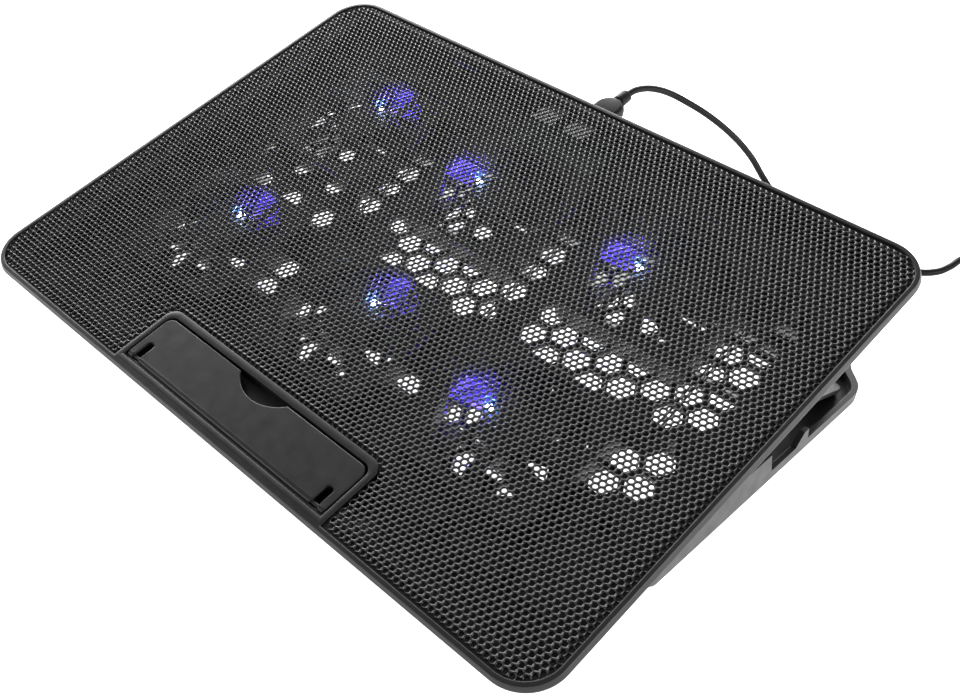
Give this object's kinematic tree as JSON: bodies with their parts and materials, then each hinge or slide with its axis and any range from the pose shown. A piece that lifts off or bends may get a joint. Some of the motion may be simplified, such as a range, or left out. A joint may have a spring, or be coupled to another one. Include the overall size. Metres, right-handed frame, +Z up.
{
  "type": "laptop cooling pad",
  "caption": "Tilting perforated deck with lit cooling fans on a low stand, with a fold-out prop, a flip-up laptop stop and a USB lead.",
  "frame": {"origin": "centre of the footprint of the pad, on the surface it stands on, measured without the lead", "axes": "+X across the pad to its right, +Y from the front edge to the rear, +Z up"},
  "size_m": [0.4001, 0.3807, 0.0723],
  "materials": {
    "shell": "satin black moulded plastic",
    "steel": "satin black painted perforated steel",
    "cover": "fine matt black moulded plastic",
    "fan": "black moulded plastic with a slight sheen",
    "led": "clear blue lamp lens",
    "nickel": "bright nickel plate",
    "board": "green circuit board lacquer",
    "rubber": "matt black rubber",
    "insulator": "white moulded plastic"
  },
  "bodies": {
    "stand": {"stand_frame": "shell", "hinge_pin_left": "nickel", "hinge_pin_right": "nickel", "stand_foot_1": "rubber", "stand_foot_2": "rubber", "stand_foot_3": "rubber", "stand_foot_4": "rubber", "usb_cable": "rubber", "usb_cable_coil": "rubber", "usb_cable_tail": "rubber", "far_plug_boot": "rubber", "far_plug_shell": "nickel"},
    "deck": {"top_frame": "shell", "mesh_panel": "steel", "bottom_cover": "cover", "cover_screw_1": "nickel", "cover_screw_2": "nickel", "cover_screw_3": "nickel", "cover_screw_4": "nickel", "cover_screw_5": "nickel", "cover_screw_6": "nickel", "deck_pad_left": "rubber", "deck_pad_right": "rubber", "fan_frame_1": "fan", "fan_frame_2": "fan", "fan_frame_3": "fan", "fan_frame_4": "fan", "fan_frame_5": "fan", "fan_frame_6": "fan", "led_1": "led", "led_2": "led", "led_3": "led", "led_4": "led", "led_5": "led", "led_6": "led", "usb_board": "board", "usb_port_left": "nickel", "usb_port_right": "nickel", "usb_tongue_left": "insulator", "usb_tongue_right": "insulator", "switch_body": "cover", "prop_pin_left": "nickel", "prop_pin_right": "nickel", "near_plug_shell": "nickel", "near_plug_boot": "rubber"},
    "laptop_stop": {"laptop_stop": "shell"},
    "prop": {"prop": "shell"},
    "switch_slider": {"switch_slider": "insulator"},
    "impeller_1": {"impeller_1": "fan"},
    "impeller_2": {"impeller_2": "fan"},
    "impeller_3": {"impeller_3": "fan"},
    "impeller_4": {"impeller_4": "fan"},
    "impeller_5": {"impeller_5": "fan"},
    "impeller_6": {"impeller_6": "fan"}
  },
  "joints": [
    {"name": "deck_tilt", "type": "hinge", "parent": "stand", "child": "deck", "pos_m": [0, -0.0943, 0.01049], "axis": [1, 0, 0], "range_deg": [-12.42, 0], "deforming": ["usb_cable"]},
    {"name": "prop_fold", "type": "hinge", "parent": "deck", "child": "prop", "pos_m": [0, 0.03409, 0.0315], "axis": [1, 0, 0], "range_deg": [0, 33.9]},
    {"name": "stop_flip", "type": "hinge", "parent": "deck", "child": "laptop_stop", "pos_m": [0, -0.11865, 0.01598], "axis": [1, 0, 0], "range_deg": [0, 105]},
    {"name": "switch_slide", "type": "slide", "parent": "deck", "child": "switch_slider", "axis": [1, 0, 0], "range_m": [0, 0.003]},
    {"name": "fan_spin_1", "type": "hinge", "parent": "deck", "child": "impeller_1", "pos_m": [-0.0995, -0.04173, 0.02473], "axis": [0, -0.2151, 0.9766], "continuous": true},
    {"name": "fan_spin_2", "type": "hinge", "parent": "deck", "child": "impeller_2", "pos_m": [-0.0029, -0.04173, 0.02473], "axis": [0, -0.2151, 0.9766], "continuous": true},
    {"name": "fan_spin_3", "type": "hinge", "parent": "deck", "child": "impeller_3", "pos_m": [0.0937, -0.04173, 0.02473], "axis": [0, -0.2151, 0.9766], "continuous": true},
    {"name": "fan_spin_4", "type": "hinge", "parent": "deck", "child": "impeller_4", "pos_m": [-0.0995, 0.05495, 0.04602], "axis": [0, -0.2151, 0.9766], "continuous": true},
    {"name": "fan_spin_5", "type": "hinge", "parent": "deck", "child": "impeller_5", "pos_m": [-0.0029, 0.05495, 0.04602], "axis": [0, -0.2151, 0.9766], "continuous": true},
    {"name": "fan_spin_6", "type": "hinge", "parent": "deck", "child": "impeller_6", "pos_m": [0.0937, 0.05495, 0.04602], "axis": [0, -0.2151, 0.9766], "continuous": true}
  ],
  "couplings": [
    {"joint": "prop_fold", "follows": "deck_tilt", "ratio": -2.7273}
  ]
}
